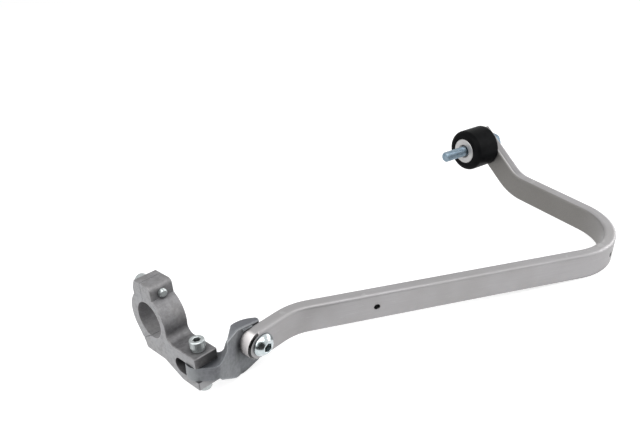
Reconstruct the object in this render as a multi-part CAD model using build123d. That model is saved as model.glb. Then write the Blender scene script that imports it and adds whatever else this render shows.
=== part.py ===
from build123d import *
import math
import os

os.makedirs("parts", exist_ok=True)

# Handlebar clamp: its own frame has Y to the rider, Z up, X along the handlebar
clamp_tilt = 7.0
clamp_width = 14.6
bore_radius = 11.2
ring_radius = 17.0
ring_shift_y = 1.2
ring_shift_z = -0.3
lug_front = -7.2
lug_top = 22.9
lug_rear_top = 8.9
lug_rear_foot = 11.8
lug_rear_step = 17.4
foot_bottom = -22.3
foot_corner_y = 9.2
foot_side_y = 10.4
foot_side_z = -18.0
foot_tangent_angle = -25.0
slope_start_y = -9.3
slope_end_y = -25.4
jaw_end_y = -41.0
jaw_top = -8.3
slot_top = -14.3
slot_bottom = -23.6
slot_end_y = -25.2
jaw_bottom = -28.6
clamp_edge = 0.35
split_y = 3.0
seam_gap = 0.3
seam_bore_angle = -79.0

# Clamp fasteners, M5
m5_radius = 2.5
m5_head_radius = 4.25
m5_head_height = 5.0
m5_socket = 4.0
m5_collar_radius = 3.7
jaw_bolt_collar = 1.6
m5_socket_depth = 2.8
m5_clear = 0.3
thread_clear = 0.05
run_clear = 0.05
pinch_z = 17.2
pinch_seat_y = 10.2
pinch_tip_y = -9.4
spot_radius = 4.9
jaw_bolt_y = -34.5
nut_across = 8.0
nut_height = 5.0
nut_collar_radius = 3.6
bolt_end_below = 5.6

# Tongue of the swivel connector, in the clamp's frame
tongue_clear = 0.25
tongue_end_radius = 8.4

# Flat bar, seen from above: its middle line and the bends
bar_width = 19.0
bar_thick = 8.2
bar_edge = 1.8
bar_mid_z = -15.2
end_x = 25.2
end_y = -42.5
inner_angle = 2.4
inner_length = 38.3
front_angle = -27.7
front_length = 256.9
inner_bend = 36.0
corner_bend = 41.0
back_angle = 80.1
back_length = 122.1
rise_angle = 34.0
rise_bend = 31.0
tab_hole = 41.8
tab_past_hole = 12.0
tab_corner = 3.4
end_hole_in = 10.3
end_chamfer = 1.2
screw_hole = 4.0
screw_along = 52.4
corner_hole_turn = 35.0

# M8 screws: a button head at the inner end, a hexagon head at the outer end
m8_radius = 4.0
m8_clear = 0.3
m8_head_radius = 7.1
m8_rim_height = 0.9
m8_head_height = 4.6
m8_crown_radius = 3.6
m8_socket = 5.0
m8_socket_depth = 2.8
bar_screw_length = 17.0
end_screw_length = 52.0
end_thread_radius = 3.95
end_thread_past = 0.5
end_groove_radius = 3.3
end_groove = 2.0
hex_across = 13.0
hex_height = 5.4
tip_chamfer = 0.8

# Bar end weight and its spacer
weight_radius = 16.2
weight_length = 23.0
weight_rim = 4.0
weight_back_rim = 0.8
spacer_radius = 9.9
spacer_clear = 0.3
spacer_bore = 4.6
spacer_mouth = 1.0

# Swivel connector seen from above, and its heights
tongue_angle = -45.0
elbow_front_x = 1.85
elbow_front_y = -50.05
elbow_front_round = 4.5
seat_left = -10.6
seat_right = 10.1
boss_back_x = 32.2
boss_back_y = -31.2
boss_side_x = 15.9
boss_side_y = -37.1
boss_side_round = 8.0
boss_end_round = 2.2
neck_x = 11.0
neck_y = -41.7
neck_round = 3.0
elbow_reach = 15.4
elbow_round = 5.0
top_left = 1.5
top_slope = 0.16
belly_start = 10.5
belly_one = 14.05
belly_one_z = -34.2
belly_two = 17.4
belly_two_z = -40.1
belly_three = 25.1
belly_three_z = -38.2
belly_end = 32.0
belly_end_z = -31.5
ledge_proud = 1.2
ledge_clear = 0.15
ledge_start = -7.6
ledge_end = 1.0
roof_edge = 1.5


def turned(direction, degrees):
    return (math.cos(math.radians(degrees)) * direction[0] - math.sin(math.radians(degrees)) * direction[1],
            math.sin(math.radians(degrees)) * direction[0] + math.cos(math.radians(degrees)) * direction[1])


def heading(degrees):
    return (math.cos(math.radians(degrees)), math.sin(math.radians(degrees)))


def save(shape, name):
    shape.label = name
    export_step(shape, os.path.join("parts", name + ".step"))


def hexagon(across):
    return RegularPolygon(across / math.sqrt(3), 6)


def cap_screw(length, collar=0):
    """Socket cap screw along +Z: it stands on the plane z = 0, on a collar or not, and the shank goes down."""
    head = Cylinder(m5_head_radius, m5_head_height, align=(Align.CENTER, Align.CENTER, Align.MIN))
    head = chamfer(head.edges().group_by(Axis.Z)[-1], 0.5)
    if collar:
        head = Pos(0, 0, collar) * chamfer(head.edges().group_by(Axis.Z)[0], 0.3)
        head += Cylinder(m5_collar_radius, collar + 0.5, align=(Align.CENTER, Align.CENTER, Align.MIN))
    shank = Pos(0, 0, 0.5) * Cylinder(m5_radius, length + 0.5, align=(Align.CENTER, Align.CENTER, Align.MAX))
    shank = chamfer(shank.edges().group_by(Axis.Z)[0], tip_chamfer)
    socket = Pos(0, 0, m5_head_height + collar) * extrude(hexagon(m5_socket), -m5_socket_depth)
    return head + shank - socket


def button_screw(length):
    """Button screw along +Z: the head stands on z = 0 and the shank goes down."""
    with BuildPart() as screw:
        with BuildSketch(Plane.XZ):
            with BuildLine():
                Polyline((0, -length), (m8_radius - tip_chamfer, -length), (m8_radius, tip_chamfer - length),
                         (m8_radius, 0), (m8_head_radius - 0.2, 0), (m8_head_radius, m8_rim_height))
                ThreePointArc((m8_head_radius, m8_rim_height),
                              (m8_head_radius * 0.82, m8_rim_height + (m8_head_height - m8_rim_height) * 0.64),
                              (m8_crown_radius, m8_head_height))
                Polyline((m8_crown_radius, m8_head_height), (0, m8_head_height), (0, -length))
            make_face()
        revolve(axis=Axis.Z)
    socket = Pos(0, 0, m8_head_height) * extrude(hexagon(m8_socket), -m8_socket_depth)
    return screw.part - socket


def hex_screw(length, plain):
    """Hexagon screw along +Z: the head stands on z = 0, a plain shank goes down, then a groove and the thread."""
    head = extrude(hexagon(hex_across), hex_height)
    bevel = Cone(hex_across * 0.47 + hex_height * math.tan(math.radians(60)), hex_across * 0.47, hex_height,
                 align=(Align.CENTER, Align.CENTER, Align.MAX))
    head &= Pos(0, 0, hex_height) * bevel
    core = Cylinder(end_groove_radius, length - tip_chamfer, align=(Align.CENTER, Align.CENTER, Align.MAX))
    shank = Cylinder(m8_radius, plain - end_groove + 0.5, align=(Align.CENTER, Align.CENTER, Align.MAX))
    thread = Cylinder(end_thread_radius, length - plain, align=(Align.CENTER, Align.CENTER, Align.MAX))
    thread = chamfer(thread.edges().group_by(Axis.Z)[0], tip_chamfer)
    return head + core + Pos(0, 0, 0.5) * shank + Pos(0, 0, -plain) * thread


# Clamp frame to the guard's frame
clamp_place = Location((0, 0, 0), (-clamp_tilt, 0, 0))

# Clamp outline, drawn in the plane across the handlebar
tangent_point = (ring_shift_y + ring_radius * heading(foot_tangent_angle)[0],
                 ring_shift_z + ring_radius * heading(foot_tangent_angle)[1])
ring = Pos(ring_shift_y, ring_shift_z) * Circle(ring_radius)
lug = make_face(Polyline((lug_front, 8), (lug_front, lug_top), (lug_rear_top, lug_top),
                         (lug_rear_foot, lug_rear_step), (lug_rear_foot + 0.4, 8), (lug_front, 8)))
foot = make_face(Polyline(tangent_point, (foot_side_y, foot_side_z), (foot_corner_y, foot_bottom),
                          (slope_start_y, foot_bottom), (slope_end_y, jaw_bottom), (jaw_end_y, jaw_bottom),
                          (jaw_end_y, jaw_top), (-8, jaw_top), tangent_point))
outline = ring + lug + foot


def corner_at(sketch, y, z):
    return sketch.vertices().sort_by_distance(Vector(y, z, 0))[0]


for spot_y, spot_z, bend in ((lug_front, lug_top, 3.0), (lug_rear_top, lug_top, 1.2), (lug_rear_foot, lug_rear_step, 2.0),
                             (-14, jaw_top, 4.5), (slope_start_y, foot_bottom, 6.0), (slope_end_y, jaw_bottom, 5.0),
                             (foot_corner_y, foot_bottom, 1.5), (foot_side_y, foot_side_z, 4.0),
                             (jaw_end_y, jaw_bottom, 0.8), (jaw_end_y, jaw_top, 0.8)):
    outline = fillet(corner_at(outline, spot_y, spot_z), bend)

slot_height = slot_top - slot_bottom
slot_mid = (slot_top + slot_bottom) / 2
slot = Pos((slot_end_y + jaw_end_y) / 2 - 5, slot_mid) * Rectangle(slot_end_y - jaw_end_y + 10, slot_height)
slot += Pos(slot_end_y, slot_mid) * Circle(slot_height / 2)
clamp_all = extrude(Plane.YZ * outline, clamp_width / 2, both=True)
clamp_all = chamfer(clamp_all.edges().filter_by_position(Axis.X, clamp_width / 2 - 0.01, clamp_width / 2 + 0.01), clamp_edge)
clamp_all = chamfer(clamp_all.edges().filter_by_position(Axis.X, -clamp_width / 2 - 0.01, 0.01 - clamp_width / 2), clamp_edge)
clamp_all -= extrude(Plane.YZ * slot, clamp_width, both=True)
clamp_all -= extrude(Plane.YZ * Circle(bore_radius), clamp_width, both=True)

# The cap is the rider's side of the ring, split at the lug and from the bore down to the foot's corner
seam_in = (bore_radius * heading(seam_bore_angle)[0], bore_radius * heading(seam_bore_angle)[1])
cap_zone = make_face(Polyline((split_y, 40), (40, 40), (40, -17), (foot_corner_y + 4, -17.0), seam_in, (0, 0),
                              (split_y, 0), (split_y, 40)))
wide_zone = offset(cap_zone, seam_gap, kind=Kind.INTERSECTION)
clamp_cap = clamp_all & extrude(Plane.YZ * cap_zone, clamp_width, both=True)
clamp_body = clamp_all - extrude(Plane.YZ * wide_zone, clamp_width, both=True)

# Screw ways in the clamp
pinch_line = Plane(origin=(0, 0, pinch_z), x_dir=(1, 0, 0), z_dir=(0, 1, 0))
clamp_cap -= pinch_line * Cylinder(m5_radius + m5_clear, 60)
clamp_cap -= Plane(origin=(0, pinch_seat_y, pinch_z), x_dir=(1, 0, 0), z_dir=(0, 1, 0)) * Cylinder(
    spot_radius, 20, align=(Align.CENTER, Align.CENTER, Align.MIN))
clamp_body -= pinch_line * Cylinder(m5_radius + thread_clear, 60)
jaw_line = Pos(0, jaw_bolt_y, 0)
clamp_body -= jaw_line * Cylinder(m5_radius + run_clear, 80)
save(clamp_place * clamp_body, "clamp_body")
save(clamp_place * clamp_cap, "clamp_cap")

pinch_length = pinch_seat_y - pinch_tip_y
pinch = Plane(origin=(0, pinch_seat_y, pinch_z), x_dir=(1, 0, 0), z_dir=(0, 1, 0)) * cap_screw(pinch_length)
save(clamp_place * pinch, "pinch_bolt")
jaw_length = jaw_top - jaw_bottom + bolt_end_below
jaw_bolt = Pos(0, jaw_bolt_y, jaw_top) * cap_screw(jaw_length, jaw_bolt_collar)
save(clamp_place * jaw_bolt, "jaw_bolt")

nut = extrude(hexagon(nut_across), -nut_height * 0.7)
nut = chamfer(nut.edges().group_by(Axis.Z)[0], 0.4)
nut += Pos(0, 0, -nut_height * 0.6) * Cylinder(nut_collar_radius, nut_height * 0.4, align=(Align.CENTER, Align.CENTER, Align.MAX))
nut = fillet(nut.edges().group_by(Axis.Z)[0], 0.8)
nut -= Cylinder(m5_radius + thread_clear, 30)
save(clamp_place * (Pos(0, jaw_bolt_y, jaw_bottom) * nut), "jaw_nut")

# Flat bar: middle line seen from above
inner_way = heading(inner_angle)
front_way = heading(front_angle)
back_way = heading(back_angle)
start = Vector(end_x, end_y, bar_mid_z)
bend_one = start + Vector(*inner_way) * inner_length
bend_two = bend_one + Vector(*front_way) * front_length
rise = bend_two + Vector(*back_way) * back_length
rise_way = Vector(back_way[0] * math.cos(math.radians(rise_angle)), back_way[1] * math.cos(math.radians(rise_angle)),
                  math.sin(math.radians(rise_angle)))
tab_end = rise + rise_way * (tab_hole + tab_past_hole)


def bend(before, apex, after, radius):
    """The two tangent points, the middle and the centre of a round bend."""
    back = (before - apex).normalized()
    ahead = (after - apex).normalized()
    half = math.radians(back.get_angle(ahead)) / 2
    inward = (back + ahead).normalized()
    centre = apex + inward * (radius / math.sin(half))
    reach = radius / math.tan(half)
    return apex + back * reach, centre - inward * radius, apex + ahead * reach, centre


bend_a = bend(start, bend_one, bend_two, inner_bend)
bend_b = bend(bend_one, bend_two, rise, corner_bend)
bend_c = bend(bend_two, rise, tab_end, rise_bend)
middle = Wire([Line(start, bend_a[0]).edge(), ThreePointArc(bend_a[0], bend_a[1], bend_a[2]).edge(),
               Line(bend_a[2], bend_b[0]).edge(), ThreePointArc(bend_b[0], bend_b[1], bend_b[2]).edge(),
               Line(bend_b[2], bend_c[0]).edge(), ThreePointArc(bend_c[0], bend_c[1], bend_c[2]).edge(),
               Line(bend_c[2], tab_end).edge()])
section = Plane(origin=start, x_dir=(-inner_way[1], inner_way[0], 0), z_dir=(*inner_way, 0)) * RectangleRounded(
    bar_thick, bar_width, bar_edge)
bar = sweep(section, path=middle)

# Round inner end about its screw, with a machined chamfer in front
inner_frame = Plane(origin=start + Vector(*inner_way) * end_hole_in, x_dir=(*inner_way, 0),
                    z_dir=(inner_way[1], -inner_way[0], 0))
end_disc = Cylinder(bar_width / 2, bar_thick)
end_disc = chamfer(end_disc.edges().group_by(Axis.Z)[-1], end_chamfer)
end_cut = Pos(-15, 0, 0) * Box(30, bar_width + 4, bar_thick + 4) - end_disc
end_shift = bar_width / 2 - end_hole_in
bar -= inner_frame * (Pos(end_shift, 0, 0) * end_cut)
bar -= inner_frame * Cylinder(m8_radius + m8_clear, 40)

# Squarish outer end with round corners
outward = (back_way[1], -back_way[0], 0)
hole_centre = rise + rise_way * tab_hole
tab_frame = Plane(origin=hole_centre, x_dir=rise_way, z_dir=outward)
tab_cut = Pos(tab_past_hole, 0) * Rectangle(16, bar_width + 4)
tab_cut -= Pos(tab_past_hole - 20, 0) * RectangleRounded(40, bar_width, tab_corner)
bar -= tab_frame * extrude(tab_cut, 10, both=True)
bar -= tab_frame * Cylinder(m8_radius + m8_clear, 40)

# Small screw holes for a wind shield
front_out = (front_way[1], -front_way[0], 0)
screw_spot = bend_one + Vector(*front_way) * screw_along
bar -= Plane(origin=screw_spot, z_dir=front_out) * Cylinder(screw_hole / 2, 30)
corner_from = bend_b[0] - bend_b[3]
corner_out = Vector(*turned((corner_from.X, corner_from.Y), corner_hole_turn), 0)
bar -= Plane(origin=bend_b[3] + corner_out, z_dir=corner_out) * Cylinder(screw_hole / 2, 30)
save(bar, "bar")

# Button screws
bar_screw = (inner_frame.offset(bar_thick / 2)) * button_screw(bar_screw_length)
save(bar_screw, "bar_bolt")
end_screw = (tab_frame.offset(bar_thick / 2)) * hex_screw(end_screw_length, bar_thick + weight_length + end_thread_past)
save(end_screw, "end_bolt")

# Weight and spacer stand on the inner face of the tab
inboard = Plane(origin=hole_centre - Vector(*outward) * (bar_thick / 2), x_dir=rise_way,
                z_dir=(-outward[0], -outward[1], 0))
weight = Cylinder(weight_radius, weight_length, align=(Align.CENTER, Align.CENTER, Align.MIN))
weight = fillet(weight.edges().group_by(Axis.Z)[-1], weight_rim)
weight = fillet(weight.edges().group_by(Axis.Z)[0], weight_back_rim)
weight -= Cylinder(spacer_radius + spacer_clear, 80)
save(inboard * weight, "end_weight")
spacer = Cylinder(spacer_radius, weight_length, align=(Align.CENTER, Align.CENTER, Align.MIN))
spacer = chamfer(spacer.edges().group_by(Axis.Z)[-1], 0.4)
spacer -= Cylinder(spacer_bore, 80)
spacer = chamfer(spacer.edges().filter_by(GeomType.CIRCLE).group_by(Axis.Z)[-1].sort_by(SortBy.RADIUS)[0], spacer_mouth)
save(inboard * spacer, "end_spacer")

# Swivel connector: seen from above it runs from the jaw bolt to the back of the bar
tilt_cos = math.cos(math.radians(clamp_tilt))
tilt_sin = math.sin(math.radians(clamp_tilt))
pivot_x = 0.0
pivot_y = jaw_bolt_y * tilt_cos + slot_mid * tilt_sin
front_touch = (pivot_x + tongue_end_radius * heading(225)[0], pivot_y + tongue_end_radius * heading(225)[1])
far_touch = (pivot_x + tongue_end_radius * heading(135)[0], pivot_y + tongue_end_radius * heading(135)[1])
rear_touch = (pivot_x + tongue_end_radius * heading(30)[0], pivot_y + tongue_end_radius * heading(30)[1])
seat_line = inner_frame.offset(-bar_thick / 2)
seat_from = seat_line.from_local_coords(Vector(seat_left, 0, 0))
seat_to = seat_line.from_local_coords(Vector(seat_right, 0, 0))
with BuildSketch() as plan:
    with BuildLine():
        Polyline(front_touch, (elbow_front_x, elbow_front_y), (seat_from.X, seat_from.Y), (seat_to.X, seat_to.Y))
        ThreePointArc((seat_to.X, seat_to.Y), (boss_back_x, boss_back_y), (boss_side_x, boss_side_y))
        Polyline((boss_side_x, boss_side_y), (neck_x, neck_y), rear_touch)
        ThreePointArc(rear_touch, far_touch, front_touch)
    make_face()
    fillet(plan.vertices().sort_by_distance((elbow_front_x, elbow_front_y, 0))[0], elbow_front_round)
    fillet(plan.vertices().sort_by_distance((neck_x, neck_y, 0))[0], neck_round)
    fillet(plan.vertices().sort_by_distance((boss_side_x, boss_side_y, 0))[0], boss_side_round)
    fillet(plan.vertices().sort_by_distance((seat_to.X, seat_to.Y, 0))[0], boss_end_round)
connector = Pos(0, 0, -60) * extrude(plan.sketch, 80)

# Its top: a sloping roof with a rounder rear edge
roof = make_face(Polyline((-20, top_left + 20 * top_slope), (80, top_left - 80 * top_slope), (80, 80), (-20, 80),
                          (-20, top_left + 20 * top_slope)))
over_roof = extrude(Plane.XZ * roof, 100, both=True)
connector -= over_roof
connector = fillet(connector.faces().sort_by(Axis.Z)[-1].edges(), roof_edge)

# A low ledge over the top edge of the bar keys it
ledge_low = bar_width / 2 + ledge_clear
ledge = Box(seat_right - ledge_end - ledge_start, 20, ledge_proud + 1.5, align=(Align.MIN, Align.MIN, Align.MAX))
ledge = seat_line.offset(ledge_proud) * (Pos(ledge_start, ledge_low, 0) * ledge) - Pos(0, 0, -roof_edge) * over_roof
connector += ledge

# A round elbow steps down to the tongue's flat
tongue_top = slot_top - tongue_clear
tongue_bottom = slot_bottom + tongue_clear
diagonal = Plane(origin=(pivot_x, jaw_bolt_y, 0), x_dir=(*heading(tongue_angle), 0),
                 z_dir=(*heading(tongue_angle - 90), 0))
step = make_face(Polyline((-60, tongue_top), (elbow_reach, tongue_top), (elbow_reach, 60), (-60, 60), (-60, tongue_top)))
step = fillet(step.vertices().sort_by_distance((elbow_reach, tongue_top, 0))[0], elbow_round)
connector -= clamp_place * extrude(diagonal * step, 80, both=True)

# Its underside: the tongue's flat, then a curve down to the round foot of the boss
with BuildSketch() as under:
    with BuildLine():
        Polyline((-60, -90), (-60, tongue_bottom), (belly_start, tongue_bottom), (belly_one, belly_one_z))
        Spline((belly_one, belly_one_z), (belly_two, belly_two_z), (belly_three, belly_three_z),
               (belly_end, belly_end_z), tangents=((1, -3.0), (1, 1.2)))
        Polyline((belly_end, belly_end_z), (90, belly_end_z + 60), (90, -90), (-60, -90))
    make_face()
connector -= clamp_place * extrude(diagonal * under.sketch, 80, both=True)
connector -= clamp_place * (jaw_line * Cylinder(m5_radius + run_clear, 120))
connector -= inner_frame * Cylinder(m8_radius + thread_clear, 60)
save(connector, "connector")
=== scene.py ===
import math

import bpy
from mathutils import Matrix, Vector


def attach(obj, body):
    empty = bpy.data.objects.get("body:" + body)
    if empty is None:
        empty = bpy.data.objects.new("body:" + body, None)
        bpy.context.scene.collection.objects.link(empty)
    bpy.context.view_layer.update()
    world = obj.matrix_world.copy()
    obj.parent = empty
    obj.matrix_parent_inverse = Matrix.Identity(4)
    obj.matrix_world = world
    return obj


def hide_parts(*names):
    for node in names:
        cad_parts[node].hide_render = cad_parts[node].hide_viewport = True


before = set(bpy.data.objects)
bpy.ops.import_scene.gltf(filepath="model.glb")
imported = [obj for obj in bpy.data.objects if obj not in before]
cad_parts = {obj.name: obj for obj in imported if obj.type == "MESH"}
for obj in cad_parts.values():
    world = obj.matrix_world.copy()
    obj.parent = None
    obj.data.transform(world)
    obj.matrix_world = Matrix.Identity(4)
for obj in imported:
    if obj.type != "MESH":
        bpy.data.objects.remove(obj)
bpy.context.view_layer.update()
MM = 0.001
UP = Vector((0, 0, 1))

# Sizes and places of the solids, in mm and degrees
BAR_START = Vector((25.2, -42.5, -15.2))
INNER_HEADING, FRONT_HEADING, BACK_HEADING = 2.4, -27.7, 80.1
INNER_LENGTH, FRONT_LENGTH, BACK_LENGTH = 38.3, 256.9, 122.1
RISE_SLOPE = math.radians(34)
TAB_REACH = 41.8
BAR_SCREW_REACH = 10.3
BAR_HALF_THICKNESS = 4.1
CLAMP_LEAN = math.radians(7)
JAW_SCREW_SEAT = Vector((0, -34.5, -8.3))
PINCH_SCREW_SEAT = Vector((0, 10.2, 17.2))


def heading(degrees):
    return Vector((math.cos(math.radians(degrees)), math.sin(math.radians(degrees)), 0))


def left_of(way):
    return Vector((-way.y, way.x, 0))


# The bar's middle line, its bends and its two screws
inner_way, front_way, back_way = heading(INNER_HEADING), heading(FRONT_HEADING), heading(BACK_HEADING)
bend_two = BAR_START + inner_way * INNER_LENGTH + front_way * FRONT_LENGTH
rise_spot = bend_two + back_way * BACK_LENGTH
rise_way = back_way * math.cos(RISE_SLOPE) + UP * math.sin(RISE_SLOPE)
rise_up = UP * math.cos(RISE_SLOPE) - back_way * math.sin(RISE_SLOPE)
inner_out, back_out = -left_of(inner_way), -left_of(back_way)
bar_screw_centre = BAR_START + inner_way * BAR_SCREW_REACH
tab_centre = rise_spot + rise_way * TAB_REACH


# Node helpers
class Tree:
    """Short ways to add nodes to the node tree of a material or of the world."""

    def __init__(self, tree):
        self.tree = tree
        self.tree.nodes.clear()

    def node(self, kind, **settings):
        made = self.tree.nodes.new(kind)
        for key, value in settings.items():
            setattr(made, key, value)
        return made

    def put(self, value, socket):
        """Links an output to the socket, or writes a number, a vector or a colour on it."""
        if isinstance(value, bpy.types.NodeSocket):
            self.tree.links.new(value, socket)
        elif socket.type == "RGBA":
            socket.default_value = (*value, 1.0)
        else:
            socket.default_value = value

    def made_of(self, kind, values, **settings):
        """A node with its first inputs filled from values."""
        made = self.node(kind, **settings)
        for value, socket in zip(values, made.inputs):
            self.put(value, socket)
        return made

    def math(self, operation, *values):
        return self.made_of("ShaderNodeMath", values, operation=operation).outputs[0]

    def plus(self, first, second):
        return self.math("ADD", first, second)

    def minus(self, first, second):
        return self.math("SUBTRACT", first, second)

    def times(self, first, second):
        return self.math("MULTIPLY", first, second)

    def absolute(self, value):
        return self.math("ABSOLUTE", value)

    def radius(self, first, second):
        return self.math("SQRT", self.plus(self.times(first, first), self.times(second, second)))

    def dot(self, vector, direction, origin=(0, 0, 0)):
        shifted = self.made_of("ShaderNodeVectorMath", (vector, origin), operation="SUBTRACT").outputs[0]
        made = self.made_of("ShaderNodeVectorMath", (shifted, direction), operation="DOT_PRODUCT")
        return made.outputs["Value"]

    def combine(self, x, y, z):
        return self.made_of("ShaderNodeCombineXYZ", (x, y, z)).outputs[0]

    def split(self, vector):
        return self.made_of("ShaderNodeSeparateXYZ", (vector,)).outputs

    def stretch(self, vector, factors):
        return self.made_of("ShaderNodeVectorMath", (vector, factors), operation="MULTIPLY").outputs[0]

    def noise(self, vector, scale, detail=3.0, rough=0.55, twist=0.0):
        made = self.node("ShaderNodeTexNoise")
        named = {"Vector": vector, "Scale": scale, "Detail": detail, "Roughness": rough, "Distortion": twist}
        for key, value in named.items():
            self.put(value, made.inputs[key])
        return made.outputs["Fac"]

    def span(self, value, low, high, new_low=0.0, new_high=1.0, kind="SMOOTHSTEP"):
        """The value between low and high turned into one between new_low and new_high."""
        values = (value, low, high, new_low, new_high)
        return self.made_of("ShaderNodeMapRange", values, interpolation_type=kind).outputs["Result"]

    def spread(self, noise, new_low=0.0, new_high=1.0):
        """The middle of a noise's range, where most of its values lie, spread over the new range."""
        return self.span(noise, 0.3, 0.7, new_low, new_high)

    def mix(self, share, first, second):
        made = self.node("ShaderNodeMix", data_type="RGBA")
        for value, socket in ((share, made.inputs[0]), (first, made.inputs[6]), (second, made.inputs[7])):
            self.put(value, socket)
        return made.outputs[2]

    def shader(self, kind, colour, strength=None):
        made = self.made_of(kind, (colour,))
        if strength is not None:
            made.inputs["Strength"].default_value = strength
        return made.outputs[0]

    def either(self, share, first, second):
        return self.made_of("ShaderNodeMixShader", (share, first, second)).outputs[0]

    def background_share(self):
        """1 for the rays that show the background: the camera's own, mirrored and transmitted ones."""
        path = self.node("ShaderNodeLightPath")
        share = path.outputs["Is Camera Ray"]
        for name in ("Is Glossy Ray", "Is Transmission Ray"):
            share = self.math("MAXIMUM", share, path.outputs[name])
        return share

    def mirrored_dark(self, share, light, dark):
        """The light colour, turned dark by share where a mirrored ray sees it."""
        path = self.node("ShaderNodeLightPath")
        return self.mix(self.times(share, path.outputs["Is Glossy Ray"]), light, dark)


class Finish(Tree):
    """A material with one Principled shader. Its lengths are in mm."""

    def __init__(self, name):
        self.material = bpy.data.materials.new(name)
        self.material.use_nodes = True
        super().__init__(self.material.node_tree)
        self.principled = self.node("ShaderNodeBsdfPrincipled")
        self.made_of("ShaderNodeOutputMaterial", (self.principled.outputs[0],))
        texture = self.node("ShaderNodeTexCoord")
        self.facing = texture.outputs["Normal"]
        scale = self.made_of("ShaderNodeVectorMath", (texture.outputs["Object"],), operation="SCALE")
        scale.inputs["Scale"].default_value = 1 / MM
        self.place = scale.outputs[0]

    def bump(self, height, strength, distance, before=None):
        made = self.node("ShaderNodeBump")
        made.inputs["Strength"].default_value = strength
        made.inputs["Distance"].default_value = distance * MM
        self.put(height, made.inputs["Height"])
        if before is not None:
            self.put(before, made.inputs["Normal"])
        return made.outputs[0]

    def rounded_normal(self, radius, samples):
        made = self.node("ShaderNodeBevel", samples=samples)
        made.inputs["Radius"].default_value = radius * MM
        return made.outputs[0]

    def edges(self, radius, low=0.02, high=0.2):
        """1 on sharp or tightly rounded edges, 0 on flats."""
        plain = self.node("ShaderNodeNewGeometry").outputs["Normal"]
        values = (self.rounded_normal(radius, 4), plain)
        likeness = self.made_of("ShaderNodeVectorMath", values, operation="DOT_PRODUCT").outputs["Value"]
        return self.span(self.minus(1.0, likeness), low, high)

    def nooks(self, distance, low=0.35, high=0.95):
        """1 deep in corners and gaps, 0 on open surfaces: the mask for painted shade."""
        made = self.node("ShaderNodeAmbientOcclusion", samples=8)
        made.inputs["Distance"].default_value = distance * MM
        return self.span(made.outputs["AO"], low, high, 1.0, 0.0)

    def finish(self, colour, roughness, metallic, normal, **sockets):
        sockets.update({"Base Color": colour, "Roughness": roughness})
        sockets.update({"Metallic": metallic, "Normal": normal})
        for key, value in sockets.items():
            self.put(value, self.principled.inputs[key])
        return self.material


# Finishes. The tints by place and by direction follow the shades in the photograph
def bar_section(t, past_rise):
    """Where a point lies across the bar's thickness and its width, on all its stretches."""
    inner = t.dot(t.place, left_of(inner_way), BAR_START)
    front = t.dot(t.place, left_of(front_way), bend_two)
    back = t.dot(t.place, left_of(back_way), bend_two)
    inner_blend, corner_blend, rise_blend = 9.0, 28.0, 7.0
    side = t.math("SMOOTH_MIN", t.math("SMOOTH_MAX", inner, front, inner_blend), back, corner_blend)
    risen = t.span(past_rise, -rise_blend, rise_blend)
    level_height = t.dot(t.place, UP, BAR_START)
    risen_height = t.dot(t.place, rise_up, rise_spot)
    height = t.plus(t.times(level_height, t.minus(1.0, risen)), t.times(risen_height, risen))
    return side, height


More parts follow.
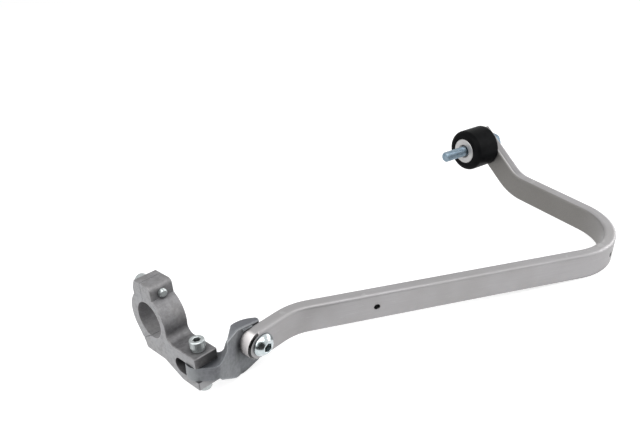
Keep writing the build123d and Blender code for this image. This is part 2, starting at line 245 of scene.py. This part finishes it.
def bar_finish():
    satin_dark, satin_light = (0.3392, 0.3315, 0.3379), (0.3936, 0.3853, 0.3917)
    clouded, speckled = (0.32, 0.3123, 0.304), (0.2304, 0.2304, 0.2368)
    scratched, tab_top_shade_tone = (0.4352, 0.4352, 0.4352), (0.1728, 0.1677, 0.1702)
    hollow_shade_dark, hollow_shade_light = (0.1376, 0.1325, 0.1229), (0.1696, 0.1638, 0.1523)
    lit_wall_dark, lit_wall_light, chamfer_reflection_tone = (0.93, 0.89, 0.88), (1.0, 0.96, 0.95), (0.03, 0.03, 0.031)
    edge_tone, hole_shade_tone = (0.42, 0.42, 0.425), (0.012, 0.012, 0.013)
    hollow_fades_in, tab_top_fades_in, round_end_fades_out = (-125.0, -60.0), (-9.0, 3.0), (-3.0, -1.5)

    t = Finish("bar_satin_anodised")
    past_rise = t.dot(t.place, back_way, rise_spot)
    side, height = bar_section(t, past_rise)
    along = t.dot(t.place, (0.6, -0.8, 0.1))

    def grain_of(across, lengthwise, detail, rough):
        spot = t.combine(t.times(side, across), t.times(height, across), t.times(along, lengthwise))
        return t.noise(spot, 1.0, detail, rough)

    grain = grain_of(3.2, 0.035, 4.0, 0.65)
    fine = grain_of(9.0, 0.12, 3.0, 0.6)
    cloud = t.noise(t.place, 0.035, 3.0, 0.5)
    speck = t.noise(t.place, 2.6, 2.0, 0.5)
    scratch = t.noise(t.stretch(t.place, (0.09, 0.09, 1.7)), 1.0, 2.0, 0.5, 1.4)
    colour = t.mix(t.spread(grain), satin_dark, satin_light)
    colour = t.mix(t.span(cloud, 0.35, 0.65, 0.0, 0.35), colour, clouded)
    colour = t.mix(t.span(speck, 0.68, 0.8, 0.0, 0.35), colour, speckled)
    colour = t.mix(t.span(scratch, 0.665, 0.70, 0.0, 0.5), colour, scratched)

    # Painted shade: the hollow side is painted browner and darker, and so is the tab's upper edge
    faces_in = t.span(t.dot(t.facing, left_of(back_way)), 0.45, 0.85)
    hollow_shade = t.times(faces_in, t.span(past_rise, *hollow_fades_in, 0.0, 0.85))
    colour = t.mix(hollow_shade, colour, t.mix(t.span(speck, 0.35, 0.65), hollow_shade_dark, hollow_shade_light))
    faces_tab_up = t.span(t.dot(t.facing, rise_up), 0.86, 0.97)
    tab_top_shade = t.times(faces_tab_up, t.span(past_rise, *tab_top_fades_in, 0.0, 0.8))
    colour = t.mix(tab_top_shade, colour, tab_top_shade_tone)

    # Painted light on the round end: its machined wall is bare metal painted near white, lighter than the
    # rest, for its highlight, and its chamfer is painted near black for a dark reflection
    faces_out = t.absolute(t.dot(t.facing, inner_out))
    faces_up = t.absolute(t.dot(t.facing, UP))
    past_screw = t.dot(t.place, inner_way, bar_screw_centre)
    in_end = t.span(past_screw, *round_end_fades_out, 1.0, 0.0)
    round_end = t.times(in_end, t.span(faces_up, 0.86, 0.97, 1.0, 0.0))
    machined = t.times(round_end, t.span(faces_out, 0.8, 0.95, 1.0, 0.0))
    chamfered = t.times(machined, t.span(faces_out, 0.5, 0.62))
    lit_wall = t.minus(machined, chamfered)
    turned = t.noise(t.combine(t.times(t.dot(t.place, inner_out), 2.6), 0.0, 0.0), 1.0, 3.0, 0.6)
    end_tone = t.mix(chamfered, t.mix(turned, lit_wall_dark, lit_wall_light), chamfer_reflection_tone)
    colour = t.mix(machined, colour, end_tone)

    colour = t.mix(t.times(t.edges(0.7), 0.4), colour, edge_tone)
    # Painted shade, near black, deep in the hole and in corners
    colour = t.mix(t.times(t.nooks(7.0, 0.30, 0.62), 0.97), colour, hole_shade_tone)
    rough = t.plus(t.spread(grain, 0.46, 0.56), t.spread(cloud, -0.03, 0.04))
    rough = t.minus(rough, t.times(chamfered, 0.36))
    metallic = t.minus(0.85, t.times(lit_wall, 0.75))
    normal = t.bump(grain, 0.10, 0.05, t.rounded_normal(2.0, 6))
    normal = t.bump(fine, 0.10, 0.02, normal)
    return t.finish(colour, rough, metallic, normal)


def clamp_finish():
    low_shade_dark, low_shade_light = (0.151, 0.1489, 0.1537), (0.1782, 0.1761, 0.1809)
    high_lit_dark, high_lit_light = (0.2108, 0.2088, 0.2149), (0.2394, 0.2373, 0.2434)
    lit_side_dark, lit_side_light = (0.3094, 0.3128, 0.323), (0.3706, 0.3726, 0.3822)
    clouded, gritty = (0.2924, 0.2856, 0.2822), (0.204, 0.204, 0.2108)
    mottle_dark, mottle_light = (0.136, 0.1346, 0.136), (0.3536, 0.3502, 0.3604)
    upper_end_shade_tone, lower_end_lit_tone = (0.034, 0.034, 0.0354), (0.3944, 0.3944, 0.4046)
    nook_shade_tone, bore_lit_tone = (0.0408, 0.0408, 0.0422), (0.3808, 0.3774, 0.3842)
    edge_tone = (0.4216, 0.4216, 0.4352)
    jaw_end_reach, between_jaws, upper_end_shade = (36.0, 40.0), (-19.0, -16.5), (-7.0, 6.0)
    bore_radius, bore_lit_range = 11.2, (-10.0, 3.0)

    t = Finish("clamp_extruded_aluminium")
    lines = t.noise(t.stretch(t.place, (0.05, 2.2, 2.2)), 1.0, 4.0, 0.6)
    grit = t.noise(t.place, 3.2, 3.0, 0.6)
    cloud = t.noise(t.place, 0.09, 3.0, 0.55)
    mottle = t.noise(t.place, 0.38, 4.0, 0.62)
    faces_x, faces_y = t.split(t.facing)[:2]
    x, y, z = t.split(t.place)
    side = t.span(t.absolute(faces_x), 0.9, 0.97)

    # The sawn sides have slightly bowed lines
    bow = t.times(t.dot(t.place, (0, 1, 0), (0, 40, 0)), 0.03)
    saw_line = t.plus(t.dot(t.place, (0, 0.35, 1)), t.times(bow, bow))
    saw = t.noise(t.combine(t.times(saw_line, 2.4), 0.0, t.times(bow, 0.6)), 1.0, 3.0, 0.6)
    height = t.dot(t.place, (0, 0.12, 0.99))
    # Painted shade: the lower part is darker and the upper part lighter
    low_shade_tone = t.mix(t.spread(lines), low_shade_dark, low_shade_light)
    high_lit_tone = t.mix(t.spread(lines), high_lit_dark, high_lit_light)
    colour = t.mix(t.span(height, -4.0, 9.0), low_shade_tone, high_lit_tone)
    # The sawn sides are painted lighter than the other faces, partly their own finish and partly painted
    # light
    colour = t.mix(side, colour, t.mix(t.spread(saw), lit_side_dark, lit_side_light))
    colour = t.mix(t.span(cloud, 0.35, 0.65, 0.0, 0.4), colour, clouded)
    colour = t.mix(t.span(mottle, 0.42, 0.66, 0.0, 0.3), colour, mottle_dark)
    colour = t.mix(t.span(mottle, 0.58, 0.34, 0.0, 0.2), colour, mottle_light)
    colour = t.mix(t.span(grit, 0.62, 0.75, 0.0, 0.4), colour, gritty)

    # Painted light on the jaws' ends: painted shade on the upper one, darker toward the bar, and the lower
    # one painted lighter
    jaw_end = t.times(t.span(t.times(faces_y, -1.0), 0.85, 0.97), t.span(t.times(y, -1.0), *jaw_end_reach))
    upper = t.span(z, *between_jaws)
    shaded_upper_end = t.times(jaw_end, t.times(upper, t.span(x, *upper_end_shade, 0.15, 0.75)))
    colour = t.mix(shaded_upper_end, colour, upper_end_shade_tone)
    colour = t.mix(t.times(jaw_end, t.minus(1.0, upper)), colour, lower_end_lit_tone)
    # Painted shade in corners and gaps
    colour = t.mix(t.times(t.nooks(9.0), 0.75), colour, nook_shade_tone)

    # Painted light: the bore's front part is painted lighter
    in_bore = t.span(t.radius(y, z), bore_radius + 0.1, bore_radius + 0.5, 1.0, 0.0)
    bore_front_lit = t.times(in_bore, t.span(t.dot(t.place, (0, -0.94, 0.34)), *bore_lit_range, 0.0, 0.75))
    colour = t.mix(bore_front_lit, colour, bore_lit_tone)
    colour = t.mix(t.times(t.edges(0.5), 0.6), colour, edge_tone)
    normal = t.bump(t.mix(side, lines, saw), 0.10, 0.05)
    normal = t.bump(grit, 0.14, 0.04, normal)
    metallic = t.minus(0.8, t.times(bore_front_lit, 0.75))
    return t.finish(colour, t.span(grit, 0.25, 0.75, 0.52, 0.66), metallic, normal)


def connector_finish():
    cast_dark, cast_light = (0.187, 0.1972, 0.2074), (0.2278, 0.238, 0.2482)
    mottle_dark, mottle_light = (0.1156, 0.1224, 0.1326), (0.306, 0.3196, 0.3298)
    clouded, upward_shade_tone = (0.1972, 0.1972, 0.221), (0.102, 0.1054, 0.1258)
    tongue_top_shadow_tone, crown_shade_tone = (0.0408, 0.0442, 0.051), (0.0816, 0.085, 0.0952)
    fillet_highlight_tone = (0.3808, 0.3944, 0.408)
    tongue_front_lit_tone, pit_tone = (0.272, 0.2856, 0.2924), (0.1156, 0.119, 0.1258)
    nook_shade_tone, edge_tone = (0.017, 0.0184, 0.0204), (0.34, 0.3604, 0.374)
    tongue_reach, tongue_shade = (15.2, 16.8), (9.0, 15.0)
    crown_reach, front_reach = (17.0, 27.0), (28.0, 36.0)

    t = Finish("connector_tumbled_casting")
    grit = t.noise(t.place, 1.9, 4.0, 0.62)
    fine = t.noise(t.place, 6.5, 2.0, 0.5)
    cloud = t.noise(t.place, 0.12, 3.0, 0.5)
    mottle = t.noise(t.place, 0.45, 4.0, 0.62)
    pit = t.noise(t.place, 1.1, 2.0, 0.4)
    x, y = t.split(t.place)[:2]
    faces_up = t.dot(t.facing, UP)
    colour = t.mix(t.spread(grit), cast_dark, cast_light)
    colour = t.mix(t.span(cloud, 0.35, 0.65, 0.0, 0.5), colour, clouded)
    colour = t.mix(t.span(mottle, 0.42, 0.66, 0.0, 0.3), colour, mottle_dark)
    colour = t.mix(t.span(mottle, 0.58, 0.34, 0.0, 0.2), colour, mottle_light)
    # Painted shade: faces that look up are darker
    colour = t.mix(t.span(faces_up, 0.5, 0.97, 0.0, 0.32), colour, upward_shade_tone)

    # Painted shadow: the tongue's top is darkest at the jaws
    from_screw = t.radius(x, t.minus(y, JAW_SCREW_SEAT.y))
    tongue_top_shadow = t.times(t.span(faces_up, 0.93, 0.985), t.span(from_screw, *tongue_reach, 1.0, 0.0))
    tongue_top_shadow = t.times(tongue_top_shadow, t.span(from_screw, *tongue_shade, 0.95, 0.1))
    colour = t.mix(tongue_top_shadow, colour, tongue_top_shadow_tone)

    # Painted light: a painted highlight on the rounded edges below the roof, the tongue's front painted
    # lighter, and painted shade on the crown at the bar
    rounded = t.times(t.span(faces_up, 0.12, 0.3, 0.0, 0.75), t.span(faces_up, 0.45, 0.66, 1.0, 0.0))
    colour = t.mix(rounded, colour, fillet_highlight_tone)
    crown_shade = t.times(t.span(faces_up, 0.8, 0.95), t.span(x, *crown_reach, 0.0, 0.5))
    colour = t.mix(crown_shade, colour, crown_shade_tone)
    near_front = t.span(t.dot(t.place, (0.55, -0.83, 0)), *front_reach, 0.55, 0.0)
    tongue_front_lit = t.times(near_front, t.span(faces_up, 0.1, 0.4, 1.0, 0.0))
    colour = t.mix(tongue_front_lit, colour, tongue_front_lit_tone)

    colour = t.mix(t.span(pit, 0.66, 0.76, 0.0, 0.45), colour, pit_tone)
    # Painted shade in corners and gaps
    colour = t.mix(t.times(t.nooks(8.0), 0.9), colour, nook_shade_tone)
    colour = t.mix(t.times(t.edges(1.2, 0.03, 0.22), 0.7), colour, edge_tone)
    normal = t.bump(grit, 0.20, 0.10)
    normal = t.bump(fine, 0.10, 0.03, normal)
    return t.finish(colour, t.spread(grit, 0.50, 0.64), 0.4, normal)


def zinc_finish(name, dark, light, smooth, coarse, metallic, nook_end=0.46):
    edge_tone, socket_shade_tone = (0.62, 0.64, 0.64), (0.015, 0.022, 0.022)
    t = Finish(name)
    cloud = t.noise(t.place, 0.45, 3.0, 0.5, 0.4)
    fine = t.noise(t.place, 5.0, 3.0, 0.6)
    colour = t.mix(t.spread(cloud), dark, light)
    # Painted shade deep in the socket and in corners
    colour = t.mix(t.times(t.nooks(5.0, 0.12, nook_end), 0.97), colour, socket_shade_tone)
    colour = t.mix(t.times(t.edges(0.35), 0.4), colour, edge_tone)
    return t.finish(colour, t.spread(fine, smooth, coarse), metallic, t.bump(fine, 0.08, 0.02))


def weight_finish():
    black_dark, black_light = (0.0035, 0.0038, 0.0042), (0.006, 0.0062, 0.0068)
    dust_tone, edge_tone = (0.02, 0.02, 0.021), (0.05, 0.05, 0.053)
    t = Finish("weight_satin_black")
    in_weight = t.combine(*(t.dot(t.place, way, tab_centre) for way in (rise_way, rise_up, back_out)))
    turning = t.noise(t.stretch(in_weight, (0.03, 0.03, 6.4)), 1.0, 3.0, 0.6)
    grit = t.noise(t.place, 4.5, 3.0, 0.6)
    cloud = t.noise(t.place, 0.12, 2.0, 0.5)
    dust = t.noise(t.place, 1.7, 2.0, 0.5)
    colour = t.mix(t.spread(cloud), black_dark, black_light)
    colour = t.mix(t.span(dust, 0.66, 0.8, 0.0, 0.25), colour, dust_tone)
    colour = t.mix(t.times(t.edges(0.6), 0.18), colour, edge_tone)
    rough = t.plus(t.spread(grit, 0.34, 0.44), t.spread(cloud, -0.03, 0.05))
    normal = t.bump(turning, 0.06, 0.03)
    normal = t.bump(grit, 0.10, 0.03, normal)
    return t.finish(colour, rough, 0.0, normal, **{"Specular IOR Level": 0.03})


def spacer_finish():
    turned_dark, turned_light = (0.42, 0.417, 0.414), (0.50, 0.497, 0.494)
    gritty, edge_tone = (0.32, 0.32, 0.325), (0.56, 0.56, 0.56)
    t = Finish("spacer_turned_aluminium")
    first, second, along = (t.dot(t.place, way, tab_centre) for way in (rise_way, rise_up, back_out))
    ring_spot = t.combine(t.times(t.radius(first, second), 3.4), t.times(along, 3.4), 0.0)
    rings = t.noise(ring_spot, 1.0, 3.0, 0.6)
    grit = t.noise(t.place, 4.0, 3.0, 0.6)
    colour = t.mix(t.spread(rings), turned_dark, turned_light)
    colour = t.mix(t.span(grit, 0.62, 0.78, 0.0, 0.3), colour, gritty)
    colour = t.mix(t.times(t.edges(0.4), 0.4), colour, edge_tone)
    return t.finish(colour, t.spread(rings, 0.40, 0.52), 0.7, t.bump(rings, 0.14, 0.05))


clamp = clamp_finish()
zinc = zinc_finish("fastener_clear_zinc", (0.36, 0.39, 0.39), (0.47, 0.495, 0.495), 0.28, 0.40, 0.8)
bright = zinc_finish("button_screw_polished_zinc", (0.47, 0.53, 0.545), (0.58, 0.62, 0.635), 0.15, 0.23, 1.0,
                     nook_end=0.66)
blue = zinc_finish("end_screw_blue_zinc", (0.165, 0.235, 0.295), (0.235, 0.30, 0.355), 0.36, 0.46, 0.85)
finish_of = {
    "bar": bar_finish(), "clamp_body": clamp, "clamp_cap": clamp, "connector": connector_finish(),
    "jaw_nut": zinc, "pinch_bolt": zinc, "jaw_bolt": zinc, "bar_bolt": bright, "end_bolt": blue,
    "end_weight": weight_finish(), "end_spacer": spacer_finish(),
}
for name, material in finish_of.items():
    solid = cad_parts[name]
    if not solid.data.materials:
        solid.data.materials.append(material)
    for slot in solid.material_slots:
        slot.material = material


# Screws with real threads and sockets. Height 0 is the seat under the head, and rings go from the top down
SIDES = 96
KNURLS = 24
DRILL_POINT = 0.6
SHARP_ANGLE = math.radians(32)


def show(piece):
    bpy.context.scene.collection.objects.link(piece)


def placed(origin, z_way, x_way):
    z = Vector(z_way).normalized()
    x = Vector(x_way).normalized()
    made = Matrix((x, z.cross(x), z)).transposed().to_4x4()
    made.translation = origin
    return made


def within(value, low=0.0, high=1.0):
    return min(high, max(low, value))


def hex_radius(across, turn):
    return across / 2 / math.cos((turn + math.pi / 6) % (math.pi / 3) - math.pi / 6)


def ring_of(radius, height):
    """One ring of points. Radius and height are numbers, or functions of the turn."""
    points = []
    for step in range(SIDES):
        turn = 2 * math.pi * step / SIDES
        r = radius(turn) if callable(radius) else radius
        z = height(turn) if callable(height) else height
        points.append((r * math.cos(turn), r * math.sin(turn), z))
    return points


def thread_rings(radius, depth, pitch, top, low, run_out=0.0):
    """A helical thread from top down to low, with a chamfered tip."""
    tip, rings_a_turn = 0.8, 8
    flank_start, flank_rise = 1.6, 4.2
    count = max(2, int((top - low) / (pitch / rings_a_turn)))

    def radius_at(turn, z):
        phase = (z / pitch - turn / (2 * math.pi)) % 1.0
        wave = within(flank_start - abs(phase - 0.5) * flank_rise)
        fade = within((top - z) / run_out) if run_out else 1.0
        return min(radius - depth * fade * (1.0 - wave), radius - tip + max(0.0, z - low))

    rings = []
    for step in range(count + 1):
        z = top + (low - top) * step / count
        rings.append(ring_of(lambda turn: radius_at(turn, z), z))
    return rings


def socket_rings(across, top, rim):
    """A hexagon socket, from its floor up and out to the head's top face."""
    depth, chamfer = 2.8, 0.22
    inside = lambda turn: hex_radius(across, turn)
    mouth = lambda turn: min(hex_radius(across, turn) + chamfer, rim - 0.05)
    return [ring_of(inside, top - depth), ring_of(inside, top - chamfer), ring_of(mouth, top)]


def cap_screw(length, collar, thread_from):
    """An M5 socket screw with a knurled head, and below the head a collar of the height given."""
    head, shank, head_top = 4.25, 2.5, 5.0 + collar
    knurl = lambda turn: head - 0.11 * (0.5 + 0.5 * math.cos(turn * KNURLS))
    low = collar + 0.55 if collar else 0.5
    rings = socket_rings(4.0, head_top, 3.75)
    rings += [ring_of(3.85, head_top), ring_of(head, head_top - 0.4)]
    rings += [ring_of(knurl, head_top - 0.8), ring_of(knurl, low + 0.3), ring_of(head, low)]
    if collar:
        rings += [ring_of(4.0, collar + 0.02), ring_of(3.72, collar), ring_of(3.7, collar - 0.1)]
        rings += [ring_of(3.7, 0.25), ring_of(3.45, 0.0)]
    else:
        rings += [ring_of(4.0, 0.0)]
    rings += [ring_of(shank, 0.0), ring_of(shank, thread_from)]
    return rings + thread_rings(shank, 0.42, 0.8, thread_from - 0.01, -length, 1.6)


def button_screw(length):
    """An M8 button head screw. Its dome blends into a small flat round the socket."""
    head, rim_height, flat, flat_height = 7.1, 0.9, 3.6, 4.57
    dome_centre, dome_steps = -2.55, 14
    shank, thread_from = 4.0, -6.0
    sphere = math.hypot(head, rim_height - dome_centre)
    dome_height = lambda radius: dome_centre + math.sqrt(max(0.0, sphere ** 2 - radius ** 2))
    rings = socket_rings(5.0, 4.6, 3.5)
    rings += [ring_of(3.45, 4.6), ring_of(flat, flat_height)]
    for step in range(1, dome_steps + 1):
        part = step / dome_steps
        radius = flat + (head - flat) * part
        rings.append(ring_of(radius, dome_height(radius) + (1 - part) * (flat_height - dome_height(flat))))
    rings += [ring_of(head, 0.6), ring_of(head - 0.1, 0.12), ring_of(head - 0.2, 0.0)]
    rings += [ring_of(shank, 0.0), ring_of(shank, thread_from)]
    return rings + thread_rings(shank, 0.66, 1.25, thread_from - 0.01, -length, 1.5)


def hexagon_screw(length, thread_from):
    """An M8 hexagon head screw with the solid's relief groove above its thread."""
    across, head_top, shank, thread = 13.0, 5.4, 4.0, 3.95
    groove, groove_length = 3.3, 2.0
    crown_shade = across * 0.47
    edge = lambda turn: hex_radius(across, turn)
    eased = lambda turn: hex_radius(across, turn) - 0.2
    slope = math.tan(math.radians(30))
    shoulder = lambda turn: head_top - max(0.0, hex_radius(across, turn) - crown_shade) * slope
    groove_top = thread_from + groove_length
    rings = [ring_of(crown_shade * 0.55, head_top), ring_of(crown_shade * 0.97, head_top)]
    rings += [ring_of(crown_shade, head_top - 0.02), ring_of(edge, shoulder), ring_of(edge, 0.25)]
    rings += [ring_of(eased, 0.0), ring_of(shank, 0.0), ring_of(shank, groove_top)]
    rings += [ring_of(groove, groove_top - 0.01), ring_of(groove, thread_from + 0.01)]
    rings += [ring_of(thread, thread_from)]
    return rings + thread_rings(thread, 0.62, 1.25, thread_from - 0.01, -length)


def build_screw(name, rings, drill_point, material, place):
    """Joins the rings by quads and closes both ends round a middle point."""
    points = [point for ring in rings for point in ring]
    last = (len(rings) - 1) * SIDES
    top_middle, low_middle = len(points), len(points) + 1
    points.append((0, 0, sum(point[2] for point in rings[0]) / SIDES - drill_point))
    points.append((0, 0, sum(point[2] for point in rings[-1]) / SIDES))
    faces = []
    for step in range(SIDES):
        after = (step + 1) % SIDES
        for row in range(0, last, SIDES):
            faces.append((row + SIDES + step, row + SIDES + after, row + after, row + step))
        faces.append((after, top_middle, step))
        faces.append((last + step, low_middle, last + after))
    data = bpy.data.meshes.new(name)
    data.from_pydata([(place @ Vector(point)) * MM for point in points], [], faces)
    data.validate()
    data.update()
    data.shade_smooth()
    data.set_sharp_from_angle(angle=SHARP_ANGLE)
    data.materials.append(material)
    piece = bpy.data.objects.new(name, data)
    show(piece)
    return piece


clamp_turn = Matrix.Rotation(-CLAMP_LEAN, 4, "X")
pinch_place = clamp_turn @ placed(PINCH_SCREW_SEAT, (0, 1, 0), (1, 0, 0))
jaw_place = clamp_turn @ placed(JAW_SCREW_SEAT, UP, (1, 0, 0))
button_place = placed(bar_screw_centre + inner_out * BAR_HALF_THICKNESS, inner_out, inner_way)
end_place = placed(tab_centre + back_out * BAR_HALF_THICKNESS, back_out, rise_way)
screws = (
    ("pinch_screw", cap_screw(19.6, 0, -5.0), DRILL_POINT, "pinch_bolt", "pinch_bolt", pinch_place, "clamp"),
    ("jaw_screw", cap_screw(25.9, 1.6, -16.0), DRILL_POINT, "jaw_bolt", "jaw_bolt", jaw_place, "clamp"),
    ("button_screw", button_screw(17.0), DRILL_POINT, "bar_bolt", "bar_bolt", button_place, "guard"),
    ("hexagon_screw", hexagon_screw(52.0, -31.7), 0.0, "end_bolt", "end_bolt", end_place, "guard"),
)
for name, rings, drill_point, node, slot, place, body in screws:
    piece = build_screw(name, rings, drill_point, finish_of[node], place)
    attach(piece, body)
    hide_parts(node)


# Stage: a pale floor, white to the camera and to mirrored rays, with the object's shadow. It lies square to
# the swivel's axis, so the guard passes over it at one height wherever the swivel stands
FLOOR_REACH = 9.0
FLOOR_GAP = 0.0003
swivel_axis = Vector((0, math.sin(CLAMP_LEAN), math.cos(CLAMP_LEAN)))
lowest = min((solid.matrix_world @ corner.co).dot(swivel_axis)
             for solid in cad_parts.values() for corner in solid.data.vertices)
floor_mesh = bpy.data.meshes.new("studio_floor")
corners = [(x * FLOOR_REACH, y * FLOOR_REACH, 0) for x, y in ((-1, -1), (1, -1), (1, 1), (-1, 1))]
floor_mesh.from_pydata(corners, [], [(0, 1, 2, 3)])
floor = bpy.data.objects.new("studio_floor", floor_mesh)
floor.location = swivel_axis * (lowest - FLOOR_GAP)
floor.rotation_euler = (-CLAMP_LEAN, 0, 0)
show(floor)


def floor_finish():
    """White to the camera. Other rays see a dark patch before the inner end, painted there for a dark
    reflection on its screw's side.
    """
    pale, shadowed, white, dark = (0.66, 0.66, 0.66), (0.45, 0.45, 0.45), (1, 1, 1), (0.03, 0.03, 0.03)
    camera_way, camera_edge, right_edge = (-0.35, -0.94, 0.0), (0.060, 0.074), (0.045, 0.085)
    material = bpy.data.materials.new("studio_floor_white")
    material.use_nodes = True
    t = Tree(material.node_tree)
    spot = t.node("ShaderNodeTexCoord").outputs["Object"]
    toward_camera = t.span(t.dot(spot, camera_way), *camera_edge)
    dark_reflection_patch = t.times(toward_camera, t.span(t.dot(spot, (1, 0, 0)), *right_edge, 1.0, 0.0))
    plain = t.shader("ShaderNodeBsdfDiffuse", t.mix(dark_reflection_patch, pale, dark))
    seen = t.shader("ShaderNodeBsdfDiffuse", t.mirrored_dark(dark_reflection_patch, shadowed, dark))
    glow = t.shader("ShaderNodeEmission", t.mirrored_dark(dark_reflection_patch, white, dark), 0.80)
    both = t.made_of("ShaderNodeAddShader", (seen, glow)).outputs[0]
    t.made_of("ShaderNodeOutputMaterial", (t.either(t.background_share(), plain, both),))
    return material


def studio_world():
    """White to the camera. Mirrored rays see white with one dark region, all others a grey studio."""
    far_tone, near_tone, dark = (0.13, 0.13, 0.135), (0.64, 0.64, 0.65), (0.02, 0.022, 0.022)
    lit_way, lit_range = (-0.52, -0.62, 0.58), (-0.63, 0.63)
    curtain_way, curtain_edge = (-0.47, -0.86, 0.19), (0.80, 0.93)
    world = bpy.data.worlds.new("studio")
    world.use_nodes = True
    t = Tree(world.node_tree)
    way = t.node("ShaderNodeTexCoord").outputs["Generated"]
    lit_side = t.span(t.dot(way, lit_way), *lit_range, kind="LINEAR")
    curtain = t.span(t.dot(way, curtain_way), *curtain_edge)
    room = t.mix(curtain, t.mix(lit_side, far_tone, near_tone), dark)
    studio = t.shader("ShaderNodeBackground", room, 0.8)
    white = t.shader("ShaderNodeBackground", t.mirrored_dark(curtain, (1, 1, 1), dark))
    t.made_of("ShaderNodeOutputWorld", (t.either(t.background_share(), studio, white),))
    return world


floor_mesh.materials.append(floor_finish())
bpy.context.scene.world = studio_world()

# Lamps, in metres and watts, aimed at the guard's middle
GUARD_MIDDLE = Vector((0.16, -0.08, 0.0))


def soft_light(name, spot, width, height, power):
    data = bpy.data.lights.new(name, "AREA")
    data.shape = "RECTANGLE"
    data.size = width
    data.size_y = height
    data.energy = power
    lamp = bpy.data.objects.new(name, data)
    lamp.location = spot
    lamp.rotation_euler = (GUARD_MIDDLE - Vector(spot)).to_track_quat("-Z", "Y").to_euler()
    show(lamp)


soft_light("top_front_softbox", (-0.25, -0.65, 1.30), 1.7, 0.8, 13.5)
soft_light("right_softbox", (1.40, -0.50, 0.45), 1.0, 0.6, 8.0)
soft_light("left_softbox", (-1.25, 0.20, 0.85), 1.5, 1.2, 14.0)

# Camera at the photograph's angle
CAMERA_SPOT = Vector((-0.15905, -0.28633, 0.24491))
CAMERA_FORWARD = Vector((0.6148, 0.6148, -0.4941)).normalized()
CAMERA_RIGHT = Vector((0.7082, -0.7060, 0.0027))
camera_data = bpy.data.cameras.new("photo_camera")
camera_data.sensor_fit = "HORIZONTAL"
camera_data.sensor_width = 36.0
camera_data.lens = 39.3
camera_data.clip_start = 0.01
camera = bpy.data.objects.new("photo_camera", camera_data)
right = (CAMERA_RIGHT - CAMERA_FORWARD * CAMERA_RIGHT.dot(CAMERA_FORWARD)).normalized()
camera_turn = Matrix((right, right.cross(CAMERA_FORWARD), -CAMERA_FORWARD)).transposed().to_4x4()
camera_turn.translation = CAMERA_SPOT
camera.matrix_world = camera_turn
show(camera)
bpy.context.scene.camera = camera
bpy.context.scene.view_settings.view_transform = "Standard"
